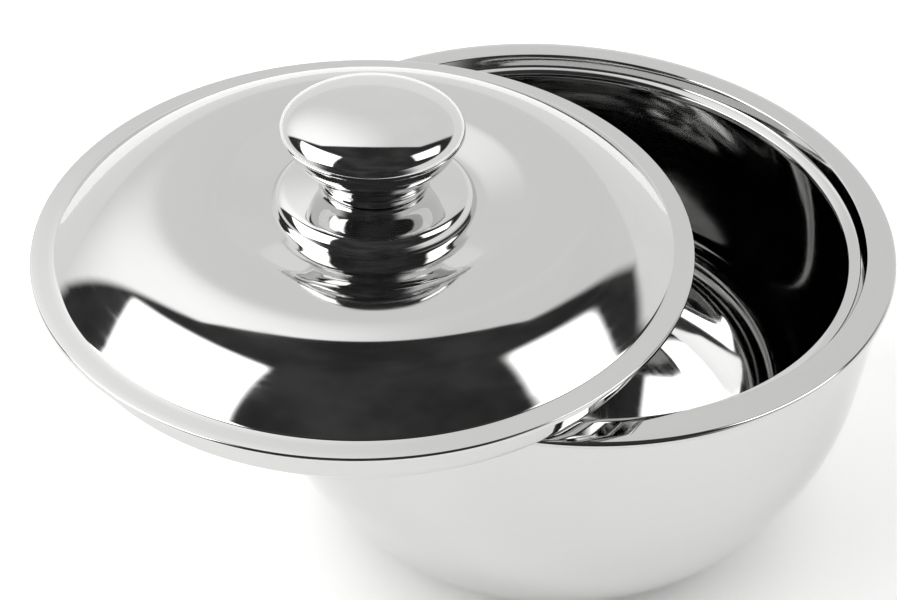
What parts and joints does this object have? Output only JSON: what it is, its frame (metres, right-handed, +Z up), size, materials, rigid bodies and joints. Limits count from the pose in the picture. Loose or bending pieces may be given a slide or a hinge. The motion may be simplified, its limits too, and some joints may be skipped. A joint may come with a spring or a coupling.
{
  "type": "insulated casserole with lift-off lid",
  "caption": "Round double-wall steel casserole with a flat rim and stepped seat; its domed, knobbed lid lies across the rim and lifts off.",
  "frame": {"origin": "on the bowl's axis, in the plane of the foot that it stands on", "axes": "+Z up along the bowl's axis; -X towards the side that the lid has been pushed to; symmetric about the XZ plane"},
  "size_m": [0.2797, 0.222, 0.1765],
  "materials": {
    "liner_steel": "mirror-polished stainless steel",
    "casing_steel": "mirror-polished stainless steel",
    "lid_steel": "mirror-polished stainless steel",
    "knob_steel": "mirror-polished stainless steel",
    "foam": "rigid foam",
    "plug_rubber": "matte",
    "brass": "turned",
    "zinc_steel": "zinc plated"
  },
  "bodies": {
    "bowl": {"inner_bowl": "liner_steel", "outer_shell": "casing_steel", "bowl_insulation": "foam", "base_cap": "casing_steel", "filler_plug": "plug_rubber"},
    "lid": {"lid_dome": "lid_steel", "lid_pan": "lid_steel", "lid_insulation": "foam", "knob_collar": "knob_steel", "knob_stem": "knob_steel", "knob_cap": "knob_steel", "knob_core": "brass", "knob_screw": "zinc_steel", "knob_washer": "zinc_steel", "spring_washer": "zinc_steel"}
  },
  "joints": [
    {"name": "lid_lift", "type": "slide", "parent": "bowl", "child": "lid", "axis": [0, 0, 1], "range_m": [0, 0.15]}
  ]
}
